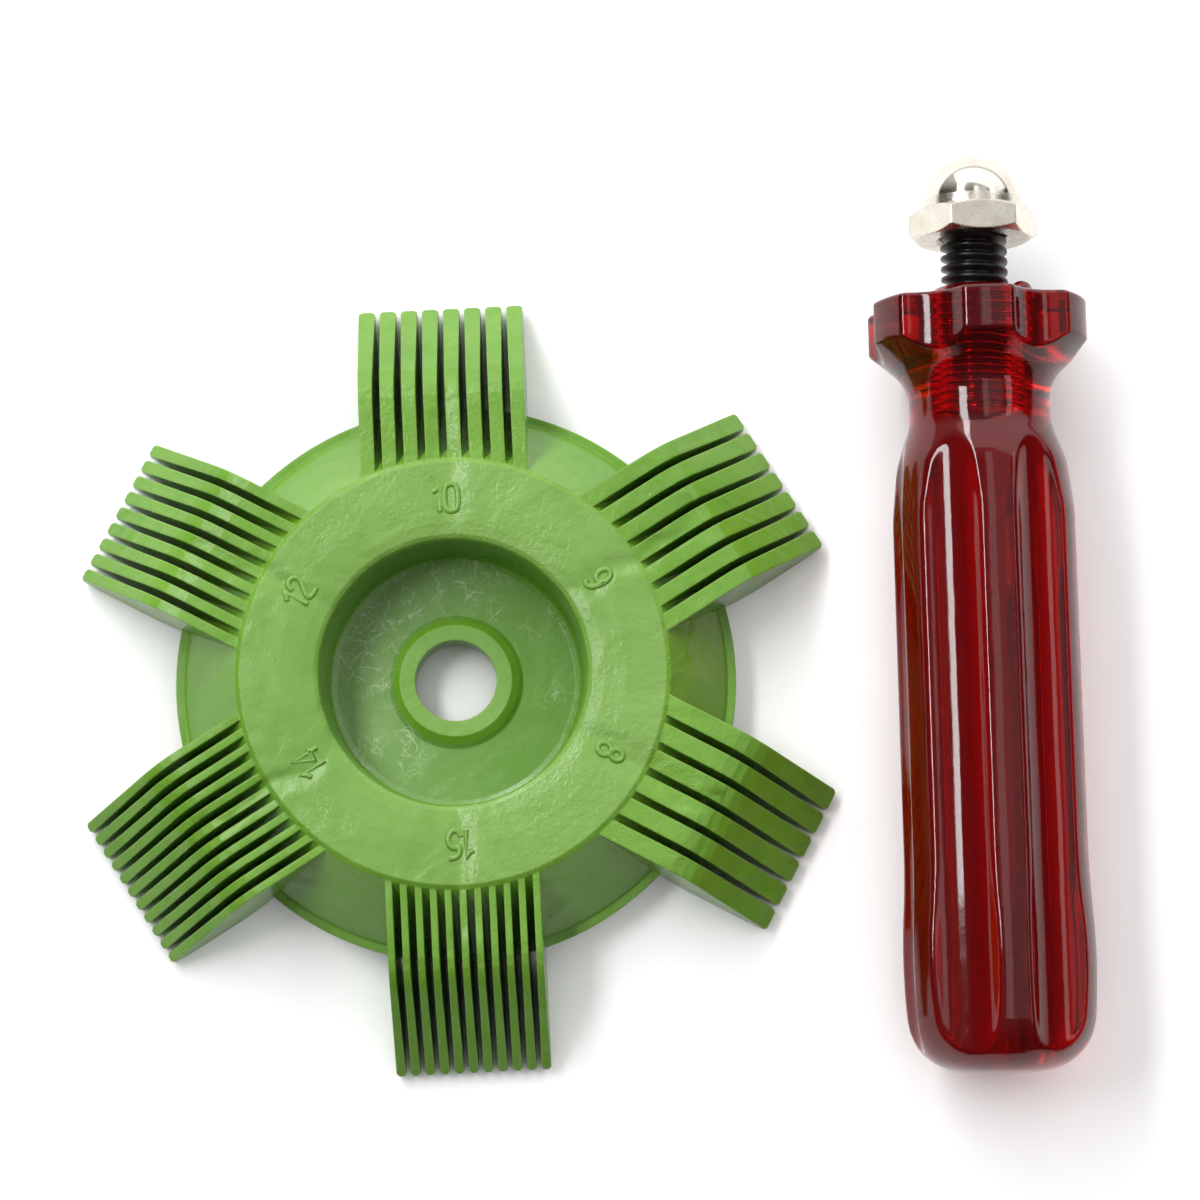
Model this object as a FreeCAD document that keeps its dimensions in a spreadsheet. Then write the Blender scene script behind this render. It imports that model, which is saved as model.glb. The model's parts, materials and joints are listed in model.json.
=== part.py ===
import FreeCAD, Part
import math
import os
import Sketcher

# Fin comb for cooling fins, laid out with its handle taken off.
# The comb wheel lies on the soles of its teeth and the handle lies beside it.
# Sizes are in millimetres and degrees. Heights of the wheel are measured from
# the surface it lies on, and the origin is the centre of the hub's upper face.

V = FreeCAD.Vector
SIZES = [
    # comb wheel, turned form
    ("wheel_height", "13.4"),
    ("ring_radius", "24.95"),
    ("ring_edge_bevel", "0.3"),
    ("recess_rim_radius", "15.43"),
    ("recess_rim_round", "0.7"),
    ("recess_foot_radius", "14.95"),
    ("recess_floor_height", "4.1"),
    ("recess_corner_round", "0.9"),
    ("hub_height", "5.4"),
    ("hub_top_radius", "6.8"),
    ("hub_foot_radius", "7.92"),
    ("hub_edge_bevel", "0.2"),
    ("bore_radius", "4.8"),
    ("web_underside", "1.5"),
    ("cup_wall", "1.9"),
    ("deck_thickness", "2.2"),
    ("skirt_wall", "2.2"),
    ("rim_radius", "33.0"),
    ("rim_ledge", "0.95"),
    ("rim_top_height", "4.45"),
    ("rim_thickness", "0.8"),
    # comb teeth, side view, shared by all six arms
    ("tooth_step", "0.3"),
    ("tooth_bend_radius", "34.3"),
    ("tooth_bend_round", "7"),
    ("tip_radius", "45.7"),
    ("tip_top_height", "1.75"),
    ("tip_thickness", "0.85"),
    ("tip_corner", "0.32"),
    ("sole_outer_radius", "42.4"),
    ("sole_inner_radius", "35.6"),
    ("sole_rise", "0.12"),
    ("sole_round", "1.6"),
    ("heel_radius", "32.4"),
    ("heel_height", "1.9"),
    ("slot_width", "0.9"),
    ("tooth_draft", "0.8"),
    # comb pitches: fins in one inch, and how many teeth each arm carries
    ("inch_length", "25.4"),
    ("fins_arm_a", "10"), ("teeth_arm_a", "8"),
    ("fins_arm_b", "9"), ("teeth_arm_b", "7"),
    ("fins_arm_c", "8"), ("teeth_arm_c", "6"),
    ("fins_arm_d", "15"), ("teeth_arm_d", "11"),
    ("fins_arm_e", "14"), ("teeth_arm_e", "11"),
    ("fins_arm_f", "12"), ("teeth_arm_f", "9"),
    ("wheel_turn", "2.87"),
    # handle, turned form, lengths along its axis from the butt end
    ("butt_round", "7"),
    ("butt_crown", "0.7"),
    ("bulge_station", "13.0"),
    ("bulge_radius", "11.3"),
    ("bulge_reach", "5"),
    ("bulge_fade", "8"),
    ("grip_radius", "10.75"),
    ("grip_end", "64.5"),
    ("shoulder_station", "70.4"),
    ("shoulder_radius", "9.98"),
    ("shoulder_round", "20"),
    ("shoulder_slope_round", "10"),
    ("neck_start", "75.1"),
    ("neck_end", "80.1"),
    ("neck_radius", "8.22"),
    ("neck_round", "6"),
    ("neck_top_round", "5.6"),
    ("collar_back", "84.35"),
    ("collar_radius", "13.0"),
    ("collar_length", "4.95"),
    ("collar_bevel", "0.45"),
    ("face_crown", "0.9"),
    ("nose_foot_radius", "8.0"),
    ("nose_waist_radius", "5.9"),
    ("nose_length", "1.1"),
    ("nose_radius", "4.9"),
    ("nose_bevel", "0.25"),
    ("rib_count", "6"),
    ("flute_radius", "6.5"),
    ("flute_depth", "1.58"),
    ("scallop_radius", "6.4"),
    ("scallop_depth", "1.8"),
    ("lug_turn", "-3"),
    ("gate_nub_radius", "1.3"),
    ("gate_nub_offset", "6.6"),
    ("gate_nub_turn", "44.5"),
    ("gate_nub_height", "1.6"),
    # threaded stud and domed nut
    ("stud_radius", "3.93"),
    ("stud_seat", "15.0"),
    ("stud_reach", "13.4"),
    ("stud_bevel", "0.6"),
    ("seat_clearance", "0.02"),
    ("drill_point", "2.3"),
    ("thread_clearance", "0.05"),
    ("nut_gap", "6.0"),
    ("nut_flats", "13.2"),
    ("hex_height", "3.4"),
    ("hex_bevel", "1.05"),
    ("dome_radius", "5.9"),
    ("dome_shank", "0.7"),
    ("nut_hole_gap", "0.5"),
    ("nut_turn", "5.0"),
    # lay of the handle beside the wheel
    ("handle_side", "62.98"),
    ("handle_butt", "46.1"),
    ("handle_swing", "1.25"),
    ("handle_roll", "3.5"),
]

doc = FreeCAD.newDocument("fin_comb")
sheet = doc.addObject("Spreadsheet::Sheet", "sizes")
for row, (alias, value) in enumerate(SIZES, start=1):
    sheet.set("A%d" % row, alias.replace("_", " "))
    sheet.set("B%d" % row, value)
    sheet.setAlias("B%d" % row, alias)
doc.recompute()


def val(text):
    # number that an expression on the sheet gives
    return float(sheet.evalExpression(text.replace("sizes.", "")))


def origin_plane(body, role):
    return [f for f in body.Origin.OriginFeatures if f.Role == role][0]


def new_body(name):
    body = doc.addObject("PartDesign::Body", name)
    body.AllowCompound = True
    return body


def new_sketch(body, name, role):
    sketch = body.newObject("Sketcher::SketchObject", name)
    sketch.AttachmentSupport = [(origin_plane(body, role), "")]
    sketch.MapMode = "FlatFace"
    return sketch


def outline(sketch, corners, arcs=None):
    # closed outline through corners, each coordinate tied to the sheet; a side
    # named in arcs is a round one, with its radius and the side it bends to
    arcs = arcs or {}
    pts = [(val(a), val(b)) for a, b in corners]
    n = len(pts)
    head, tail = [1] * n, [2] * n
    for i in range(n):
        a, b = pts[i], pts[(i + 1) % n]
        if i not in arcs:
            sketch.addGeometry(Part.LineSegment(V(a[0], a[1], 0), V(b[0], b[1], 0)), False)
            continue
        expr, left = arcs[i]
        radius = val(expr)
        along = V(b[0] - a[0], b[1] - a[1], 0)
        rise = math.sqrt(radius ** 2 - (along.Length / 2) ** 2)
        side = V(-along.y, along.x, 0).normalize() * (rise if left else -rise)
        mid = V((a[0] + b[0]) / 2, (a[1] + b[1]) / 2, 0) + side
        if not left:
            a, b, head[i], tail[i] = b, a, 2, 1
        sketch.addGeometry(Part.ArcOfCircle(
            Part.Circle(mid, V(0, 0, 1), radius),
            math.atan2(a[1] - mid.y, a[0] - mid.x), math.atan2(b[1] - mid.y, b[0] - mid.x)), False)
    for i in range(n):
        j = (i + 1) % n
        sketch.addConstraint(Sketcher.Constraint("Coincident", i, tail[i], j, head[j]))
    for i in range(n):
        for k, kind in enumerate(("DistanceX", "DistanceY")):
            c = sketch.addConstraint(Sketcher.Constraint(kind, -1, 1, i, head[i], pts[i][k]))
            name = "%s%d" % ("uv"[k], i)
            sketch.renameConstraint(c, name)
            sketch.setExpression("Constraints." + name, corners[i][k])
        if i in arcs:
            c = sketch.addConstraint(Sketcher.Constraint("Radius", i, val(arcs[i][0])))
            sketch.renameConstraint(c, "r%d" % i)
            sketch.setExpression("Constraints.r%d" % i, arcs[i][0])
    return sketch


def circle(sketch, x, y, radius):
    g = sketch.addGeometry(Part.Circle(V(val(x), val(y), 0), V(0, 0, 1), val(radius)), False)
    for kind, expr, key in (("DistanceX", x, "cu"), ("DistanceY", y, "cv")):
        c = sketch.addConstraint(Sketcher.Constraint(kind, -1, 1, g, 3, val(expr)))
        sketch.renameConstraint(c, "%s%d" % (key, g))
        sketch.setExpression("Constraints.%s%d" % (key, g), expr)
    c = sketch.addConstraint(Sketcher.Constraint("Radius", g, val(radius)))
    sketch.renameConstraint(c, "cr%d" % g)
    sketch.setExpression("Constraints.cr%d" % g, radius)


def revolve(body, sketch, name):
    turn = body.newObject("PartDesign::Revolution", name)
    turn.Profile = sketch
    turn.ReferenceAxis = (sketch, ["V_Axis"])
    turn.Angle = 360
    return turn


def softened(corners):
    # a corner whose third entry is a radius becomes a tangent arc; with a
    # fourth entry the arc is turned in so many short straight steps
    pts, arcs, n = [], {}, len(corners)
    for i, corner in enumerate(corners):
        if len(corner) == 2:
            pts.append(corner)
            continue
        (px, py), (qx, qy), (sx, sy) = (corners[k % n][:2] for k in (i - 1, i, i + 1))
        size = corner[2]
        one = "sqrt((%s - (%s)) ^ 2 + (%s - (%s)) ^ 2)" % (px, qx, py, qy)
        two = "sqrt((%s - (%s)) ^ 2 + (%s - (%s)) ^ 2)" % (sx, qx, sy, qy)
        ux, uy = "((%s - (%s)) / %s)" % (px, qx, one), "((%s - (%s)) / %s)" % (py, qy, one)
        wx, wy = "((%s - (%s)) / %s)" % (sx, qx, two), "((%s - (%s)) / %s)" % (sy, qy, two)
        inner = "acos(%s * %s + %s * %s)" % (ux, wx, uy, wy)
        reach = "(%s / tan(%s / 2))" % (size, inner)
        left = val(wx) * val(uy) - val(wy) * val(ux) > 0
        ax, ay = "%s + %s * %s" % (qx, ux, reach), "%s + %s * %s" % (qy, uy, reach)
        pts.append((ax, ay))
        if len(corner) == 3:
            arcs[len(pts) - 1] = (size, left)
        else:
            for k in range(1, corner[3]):
                swept = "((180 deg - %s) * %d / %d)" % (inner, k, corner[3])
                hand = "+" if left else "-"
                back = "-" if left else "+"
                pts.append((
                    "%s %s %s * %s * (1 - cos(%s)) - %s * %s * sin(%s)" % (ax, hand, uy, size, swept, ux, size, swept),
                    "%s %s %s * %s * (1 - cos(%s)) - %s * %s * sin(%s)" % (ay, back, ux, size, swept, uy, size, swept)))
        pts.append(("%s + %s * %s" % (qx, wx, reach), "%s + %s * %s" % (qy, wy, reach)))
    return pts, arcs


def quarter(cx, cy, size, go, turn):
    # square corner rounded in two short straight steps, for a line that comes
    # in along go and leaves along turn
    out = []
    for back, ahead in ((1, 0), (0.293, 0.293), (0, 1)):
        out.append((
            "%s - %s * %s + %s * %s" % (cx, go[0] * back, size, turn[0] * ahead, size),
            "%s - %s * %s + %s * %s" % (cy, go[1] * back, size, turn[1] * ahead, size)))
    return out


# Skirt of the wheel as a cone from the ring's edge to the ledge of the rim.
# Its inner face runs parallel to the outer one at the wall's thickness.
SLOPE = "atan2(sizes.wheel_height - sizes.rim_top_height; sizes.rim_radius - sizes.rim_ledge - sizes.ring_radius)"
WALL_OUT = "sizes.skirt_wall / sin(%s)" % SLOPE
CUP_OUT = "sizes.recess_rim_radius + sizes.cup_wall"
UNDERDECK = "(sizes.wheel_height - sizes.deck_thickness)"
RIM_UNDER = "(sizes.rim_top_height - sizes.rim_thickness)"
RUN = "((sizes.rim_radius - sizes.rim_ledge - sizes.ring_radius) / (sizes.wheel_height - sizes.rim_top_height))"


def skirt_inner(height):
    # radius of the skirt's inner face at a height
    return "sizes.ring_radius + (sizes.wheel_height - %s) * %s - %s" % (height, RUN, WALL_OUT)


# Turned form of the wheel: hub with its hole, recess, ring, skirt and thin rim
form = new_body("wheel_form")
sk = new_sketch(form, "wheel_outline", "XZ_Plane")
outline(sk, [
    ("sizes.bore_radius", "sizes.web_underside"),
    (CUP_OUT, "sizes.web_underside"),
    (CUP_OUT, RIM_UNDER),
    ("sizes.rim_radius", RIM_UNDER),
    ("sizes.rim_radius", "sizes.rim_top_height"),
    ("sizes.rim_radius - sizes.rim_ledge", "sizes.rim_top_height"),
    ("sizes.ring_radius + sizes.ring_edge_bevel * %s" % RUN, "sizes.wheel_height - sizes.ring_edge_bevel"),
    ("sizes.ring_radius - sizes.ring_edge_bevel", "sizes.wheel_height"),
] + quarter("sizes.recess_rim_radius", "sizes.wheel_height", "sizes.recess_rim_round", (-1, 0), (0, -1))
  + quarter("sizes.recess_foot_radius", "sizes.recess_floor_height", "sizes.recess_corner_round", (0, -1), (-1, 0)) + [
    ("sizes.hub_foot_radius", "sizes.recess_floor_height"),
    ("sizes.hub_top_radius", "sizes.hub_height - sizes.hub_edge_bevel"),
    ("sizes.hub_top_radius - sizes.hub_edge_bevel", "sizes.hub_height"),
    ("sizes.bore_radius", "sizes.hub_height"),
])
turned = revolve(form, sk, "wheel_turned")
form.Tip = turned

# Hollow under the ring, between the cup and the skirt, open at the back
hollow = new_body("hollow_form")
sk = new_sketch(hollow, "hollow_outline", "XZ_Plane")
outline(sk, [
    (CUP_OUT, "-3"),
    (skirt_inner("(-3)"), "-3"),
    (skirt_inner(UNDERDECK), UNDERDECK),
    (CUP_OUT, UNDERDECK),
])
groove = revolve(hollow, sk, "hollow_turned")
hollow.Tip = groove

# Six arms of comb teeth. One side view gives every tooth its level back, soft
# bend, thin tip and rounded sole. A row of tapered ridges, spaced at the pitch
# of the fins that the arm fits, is trimmed to that side view.
TOOTH_TOP = "(sizes.wheel_height - sizes.tooth_step)"
INNER = "(sizes.recess_rim_radius + sizes.recess_rim_round + 1)"
FALL_RATE = "((%s - sizes.tip_top_height) / (sizes.tip_radius - sizes.tooth_bend_radius))" % TOOTH_TOP
side = new_body("tooth_side")
sk = new_sketch(side, "tooth_outline", "XZ_Plane")
pts, arcs = softened([
    (INNER, TOOTH_TOP),
    ("sizes.tooth_bend_radius", TOOTH_TOP, "sizes.tooth_bend_round", 4),
    ("sizes.tip_radius + 0.2", "sizes.tip_top_height - 0.2 * %s" % FALL_RATE),
    ("sizes.tip_radius + 0.2", "sizes.tip_top_height - sizes.tip_thickness"),
    ("sizes.tip_radius - 0.2", "sizes.tip_top_height - sizes.tip_thickness"),
    ("sizes.sole_outer_radius", "sizes.sole_rise", "sizes.sole_round", 1),
    ("(sizes.sole_outer_radius + sizes.sole_inner_radius) / 2 + 1.2", "0"),
    ("sizes.sole_inner_radius", "0", "sizes.sole_round", 1),
    ("sizes.heel_radius", "sizes.heel_height"),
    ("sizes.heel_radius - 1.6", RIM_UNDER + " + sizes.rim_thickness / 2"),
    (INNER, RIM_UNDER + " + sizes.rim_thickness / 2"),
])
outline(sk, pts, arcs)
slab = side.newObject("PartDesign::Pad", "side_slab")
slab.Profile = sk
slab.Midplane = True
slab.Length = 40
slab.setExpression("Length", "sizes.tip_radius")
side.Tip = slab

arms = []
for k, tag in enumerate("abcdef"):
    pitch = "(sizes.inch_length / sizes.fins_arm_%s)" % tag
    count = "sizes.teeth_arm_%s" % tag
    half_top = "(%s - sizes.slot_width) / 2" % pitch
    half_foot = "(%s - sizes.slot_width) / 2 + tan(sizes.tooth_draft) * %s" % (pitch, TOOTH_TOP)
    start = "(%s - 1) / 2 * %s" % (count, pitch)
    row = new_body("tooth_row_%s" % tag)
    sk = new_sketch(row, "ridge_outline_%s" % tag, "YZ_Plane")
    outline(sk, [
        ("-%s - %s" % (start, half_top), TOOTH_TOP),
        ("-%s + %s" % (start, half_top), TOOTH_TOP),
        ("-%s + %s" % (start, half_foot), "0"),
        ("-%s - (%s)" % (start, half_foot), "0"),
    ])
    ridge = row.newObject("PartDesign::Pad", "ridge_%s" % tag)
    ridge.Profile = sk
    ridge.Length = 50
    ridge.setExpression("Length", "sizes.tip_radius")
    doc.recompute()
    ends = [
        "Edge%d" % i for i, e in enumerate(ridge.Shape.Edges, start=1)
        if all(abs(p.X - val("sizes.tip_radius")) < 0.01 for p in e.Vertexes)
        and abs(e.Vertexes[0].Z - e.Vertexes[-1].Z) > 1
    ]
    corners = row.newObject("PartDesign::Chamfer", "tip_corners_%s" % tag)
    corners.Base = (ridge, ends)
    corner = "min(sizes.tip_corner; 0.45 * (%s - sizes.slot_width))" % pitch
    corners.Size = val(corner)
    corners.setExpression("Size", corner)
    doc.recompute()
    rows = row.newObject("PartDesign::LinearPattern", "ridges_%s" % tag)
    rows.TransformMode = "Whole shape"
    rows.Direction = (sk, ["H_Axis"])
    rows.setExpression("Length", "%s * (%s - 1)" % (pitch, count))
    rows.setExpression("Occurrences", count)
    row.Tip = rows
    arm = doc.addObject("Part::MultiCommon", "arm_%s" % tag)
    arm.Shapes = [row, side]
    arm.setExpression("Placement.Rotation.Angle", "sizes.wheel_turn + 90 - %d * 60" % k)
    arm.Placement.Rotation.Axis = V(0, 0, 1)
    arms.append(arm)
doc.recompute()

whole = doc.addObject("Part::MultiFuse", "wheel_solid")
whole.Shapes = [form] + arms
wheel = doc.addObject("Part::Cut", "comb_wheel")
wheel.Base = whole
wheel.Tool = hollow
wheel.Label = "comb_wheel"
wheel.Placement = FreeCAD.Placement(V(0, 0, 0), FreeCAD.Rotation())
wheel.setExpression("Placement.Base.z", "-sizes.hub_height")
doc.recompute()

# The grip swells once near the butt: a round crest that fades into the grip
SWELL = "(2 * atan((sizes.bulge_radius - sizes.grip_radius) / (sizes.bulge_reach + sizes.bulge_fade)))"
CREST = "(sizes.bulge_reach / sin(%s))" % SWELL

# Lay of the handle: it rests on the collar's back edge and on the crest of the
# grip, so its axis climbs a little towards the nose.
COLLAR_REST = "(sizes.collar_back + sizes.collar_bevel * tan(atan2(sizes.collar_radius - sizes.neck_radius; sizes.collar_back - sizes.neck_end) / 2))"
SPAN = "(%s - sizes.bulge_station)" % COLLAR_REST
FALL = "(%s + sizes.collar_radius - sizes.bulge_radius)" % CREST
LEAN = "(acos(%s / sqrt(%s ^ 2 + %s ^ 2)) - atan2(%s; %s))" % (CREST, FALL, SPAN, SPAN, FALL)
REST = "(sizes.collar_radius * cos(%s) - %s * sin(%s))" % (LEAN, COLLAR_REST, LEAN)
NOSE_END = "(sizes.collar_back + sizes.collar_length + sizes.face_crown + sizes.nose_length)"


def lay(obj, station, roll):
    # puts a piece turned about its own Z axis on the handle's lying axis
    lean, swing, turn = math.radians(val(LEAN)), math.radians(val("sizes.handle_swing")), val(roll)
    along = V(-math.sin(swing) * math.cos(lean), math.cos(swing) * math.cos(lean), math.sin(lean))
    up = V(0, 0, 1)
    right = along.cross(up)
    right.normalize()
    over = right.cross(along)
    rot = FreeCAD.Rotation(right, over.negative(), along, "ZXY")
    rot = rot.multiply(FreeCAD.Rotation(V(0, 0, 1), turn))
    foot = V(val("sizes.handle_side"), -val("sizes.handle_butt"), val(REST) - val("sizes.hub_height"))
    obj.Placement = FreeCAD.Placement(foot + along * val(station), rot)


# Moulded handle
grip = new_body("handle_turned")
sk = new_sketch(grip, "handle_outline", "XZ_Plane")
FACE = "(sizes.collar_back + sizes.collar_length)"
CREST_END = "(sizes.bulge_radius - sizes.bulge_reach * tan(%s / 2))" % SWELL
BUTT = "(%s - (sizes.bulge_station - sizes.bulge_reach - sizes.butt_crown) * tan(%s))" % (CREST_END, SWELL)
pts, arcs = softened([
    ("0", "0"),
    (BUTT, "sizes.butt_crown", "min(sizes.butt_round; 1.05 * (sizes.bulge_station - sizes.bulge_reach - sizes.butt_crown))", 6),
    (CREST_END, "sizes.bulge_station - sizes.bulge_reach"),
    (CREST_END, "sizes.bulge_station + sizes.bulge_reach"),
    ("sizes.grip_radius", "sizes.bulge_station + sizes.bulge_reach + sizes.bulge_fade"),
    ("sizes.grip_radius", "sizes.grip_end", "sizes.shoulder_round", 2),
    ("sizes.shoulder_radius", "sizes.shoulder_station", "sizes.shoulder_slope_round", 2),
    ("sizes.neck_radius", "sizes.neck_start", "sizes.neck_round", 3),
    ("sizes.neck_radius", "sizes.neck_end", "sizes.neck_top_round", 4),
    ("sizes.collar_radius", "sizes.collar_back", "sizes.collar_bevel", 1),
    ("sizes.collar_radius", FACE, "sizes.collar_bevel", 1),
    ("sizes.nose_foot_radius", FACE + " + sizes.face_crown * 0.6"),
    ("sizes.nose_waist_radius", FACE + " + sizes.face_crown"),
    ("sizes.nose_radius", NOSE_END, "sizes.nose_bevel", 1),
    ("0", NOSE_END),
])
crest = [i for i, (u, v) in enumerate(pts) if u == CREST_END][-2]
arcs[crest] = (CREST, True)
arcs[crest + 1] = ("sizes.bulge_fade / sin(%s)" % SWELL, False)
outline(sk, pts, arcs)
turned = revolve(grip, sk, "handle_form")
grip.Tip = turned
doc.recompute()

# Six finger flutes along the grip, and six scallops that cut the collar to lugs
flutes = new_body("flute_form")
sk = new_sketch(flutes, "flute_outline", "XY_Plane")
circle(sk, "sizes.grip_radius - sizes.flute_depth + sizes.flute_radius", "0", "sizes.flute_radius")
flute = flutes.newObject("PartDesign::Pad", "flute")
flute.Profile = sk
flute.Length = 80
flute.setExpression("Length", "sizes.neck_end - 1")
doc.recompute()
ringed = flutes.newObject("PartDesign::PolarPattern", "flute_ring")
ringed.Originals = [flute]
ringed.Axis = (sk, ["N_Axis"])
ringed.Angle = 360
ringed.setExpression("Occurrences", "sizes.rib_count")
flutes.Tip = ringed

scallops = new_body("scallop_form")
sk = new_sketch(scallops, "scallop_outline", "XY_Plane")
circle(sk, "sizes.collar_radius - sizes.scallop_depth + sizes.scallop_radius", "0", "sizes.scallop_radius")
scallop = scallops.newObject("PartDesign::Pad", "scallop")
scallop.Profile = sk
scallop.Length = 14
scallop.setExpression("Length", NOSE_END + " - sizes.neck_end")
doc.recompute()
ringed = scallops.newObject("PartDesign::PolarPattern", "scallop_ring")
ringed.Originals = [scallop]
ringed.Axis = (sk, ["N_Axis"])
ringed.Angle = 360
ringed.setExpression("Occurrences", "sizes.rib_count")
scallops.Tip = ringed
scallops.setExpression("Placement.Base.z", "sizes.neck_end")
scallops.Placement.Rotation.Axis = V(0, 0, 1)
scallops.setExpression("Placement.Rotation.Angle", "sizes.lug_turn")

# Blind drilled seat for the stud, with the cone that the drill leaves
seat = new_body("stud_seat_form")
sk = new_sketch(seat, "seat_outline", "XZ_Plane")
SEAT_FOOT = "(%s - sizes.stud_seat)" % NOSE_END
outline(sk, [
    ("0", SEAT_FOOT + " - sizes.drill_point"),
    ("sizes.stud_radius + sizes.seat_clearance", SEAT_FOOT),
    ("sizes.stud_radius + sizes.seat_clearance", NOSE_END + " + 3"),
    ("0", NOSE_END + " + 3"),
])
drilled = revolve(seat, sk, "seat_drilled")
seat.Tip = drilled

# Small nub left on the face of the collar where the moulding gate was
nub = doc.addObject("Part::Sphere", "gate_nub")
nub.setExpression("Radius", "sizes.gate_nub_radius")
NUB_TURN = "(180 / sizes.rib_count - 180 + sizes.gate_nub_turn)"
nub.setExpression("Placement.Base.x", "sizes.gate_nub_offset * cos(%s)" % NUB_TURN)
nub.setExpression("Placement.Base.y", "sizes.gate_nub_offset * sin(%s)" % NUB_TURN)
nub.setExpression("Placement.Base.z", FACE + " + sizes.gate_nub_height - sizes.gate_nub_radius + sizes.face_crown / 2")

body_and_nub = doc.addObject("Part::MultiFuse", "handle_moulding")
body_and_nub.Shapes = [grip, nub]
cuts = doc.addObject("Part::MultiFuse", "handle_cuts")
cuts.Shapes = [flutes, scallops, seat]
handle = doc.addObject("Part::Cut", "handle")
handle.Base = body_and_nub
handle.Tool = cuts
handle.Label = "handle"
doc.recompute()
lay(handle, "0", "90 - 180 / sizes.rib_count + sizes.handle_roll")

# Threaded stud, at its major diameter, fixed in the handle
stud = new_body("threaded_stud")
sk = new_sketch(stud, "stud_outline", "XZ_Plane")
outline(sk, [
    ("0", "0"),
    ("sizes.stud_radius - sizes.stud_bevel", "0"),
    ("sizes.stud_radius", "sizes.stud_bevel"),
    ("sizes.stud_radius", "sizes.stud_seat + sizes.stud_reach - sizes.stud_bevel"),
    ("sizes.stud_radius - sizes.stud_bevel", "sizes.stud_seat + sizes.stud_reach"),
    ("0", "sizes.stud_seat + sizes.stud_reach"),
])
shank = revolve(stud, sk, "stud_turned")
stud.Tip = shank
stud.Label = "threaded_stud"
doc.recompute()
lay(stud, SEAT_FOOT, "0")

# Domed nut: hexagon with bevelled corners, short shank and half-round cap
hexagon = new_body("nut_hexagon")
sk = new_sketch(hexagon, "hexagon_outline", "XY_Plane")
corner = []
for i in range(6):
    corner.append(("sizes.nut_flats / sqrt(3) * cos(%d)" % (60 * i), "sizes.nut_flats / sqrt(3) * sin(%d)" % (60 * i)))
outline(sk, corner)
prism = hexagon.newObject("PartDesign::Pad", "hexagon_pad")
prism.Profile = sk
prism.Length = 3.4
prism.setExpression("Length", "sizes.hex_height")
hexagon.Tip = prism

bevel = new_body("nut_bevel")
sk = new_sketch(bevel, "bevel_outline", "XZ_Plane")
RISE = "sizes.hex_bevel * tan(30)"
outline(sk, [
    ("0", "0"),
    ("sizes.nut_flats / sqrt(3) - sizes.hex_bevel", "0"),
    ("sizes.nut_flats / sqrt(3)", RISE),
    ("sizes.nut_flats / sqrt(3)", "sizes.hex_height - " + RISE),
    ("sizes.nut_flats / sqrt(3) - sizes.hex_bevel", "sizes.hex_height"),
    ("0", "sizes.hex_height"),
])
bevelled = revolve(bevel, sk, "bevel_turned")
bevel.Tip = bevelled

hex_part = doc.addObject("Part::MultiCommon", "nut_hex_part")
hex_part.Shapes = [hexagon, bevel]
shank = doc.addObject("Part::Cylinder", "nut_shank")
shank.setExpression("Radius", "sizes.dome_radius")
shank.setExpression("Height", "sizes.hex_height + sizes.dome_shank")
dome = doc.addObject("Part::Sphere", "nut_dome")
dome.setExpression("Radius", "sizes.dome_radius")
dome.Angle1 = 0
dome.setExpression("Placement.Base.z", "sizes.hex_height + sizes.dome_shank")
hole = new_body("nut_hole")
sk = new_sketch(hole, "nut_hole_outline", "XZ_Plane")
HOLE_END = "(sizes.stud_reach - sizes.nut_gap + sizes.nut_hole_gap)"
outline(sk, [
    ("0", "-1"),
    ("sizes.stud_radius + sizes.thread_clearance + 1.4", "-1"),
    ("sizes.stud_radius + sizes.thread_clearance", "0.4"),
    ("sizes.stud_radius + sizes.thread_clearance", HOLE_END),
    ("0", HOLE_END),
])
drilled = revolve(hole, sk, "nut_drilled")
hole.Tip = drilled
blank = doc.addObject("Part::MultiFuse", "nut_blank")
blank.Shapes = [hex_part, shank, dome]
nut = doc.addObject("Part::Cut", "acorn_nut")
nut.Base = blank
nut.Tool = hole
nut.Label = "acorn_nut"
doc.recompute()
lay(nut, NOSE_END + " + sizes.nut_gap", "sizes.nut_turn")
doc.recompute()

# Check every object, then write one file for each piece
for obj in doc.Objects:
    if "Invalid" in obj.State or "Error" in obj.State:
        raise RuntimeError("%s: %s" % (obj.Label, obj.State))
os.makedirs("parts", exist_ok=True)
for piece in (wheel, handle, stud, nut):
    shape = piece.Shape
    if shape.isNull() or not shape.isValid():
        raise RuntimeError("%s has no valid shape" % piece.Label)
    print(piece.Label, len(shape.Solids), "solid", round(shape.Volume, 1), "mm3", shape.BoundBox)
    shape.exportStep(os.path.join("parts", piece.Label + ".step"))
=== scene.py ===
import bpy
import json
import math
from mathutils import Matrix, Vector


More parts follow.
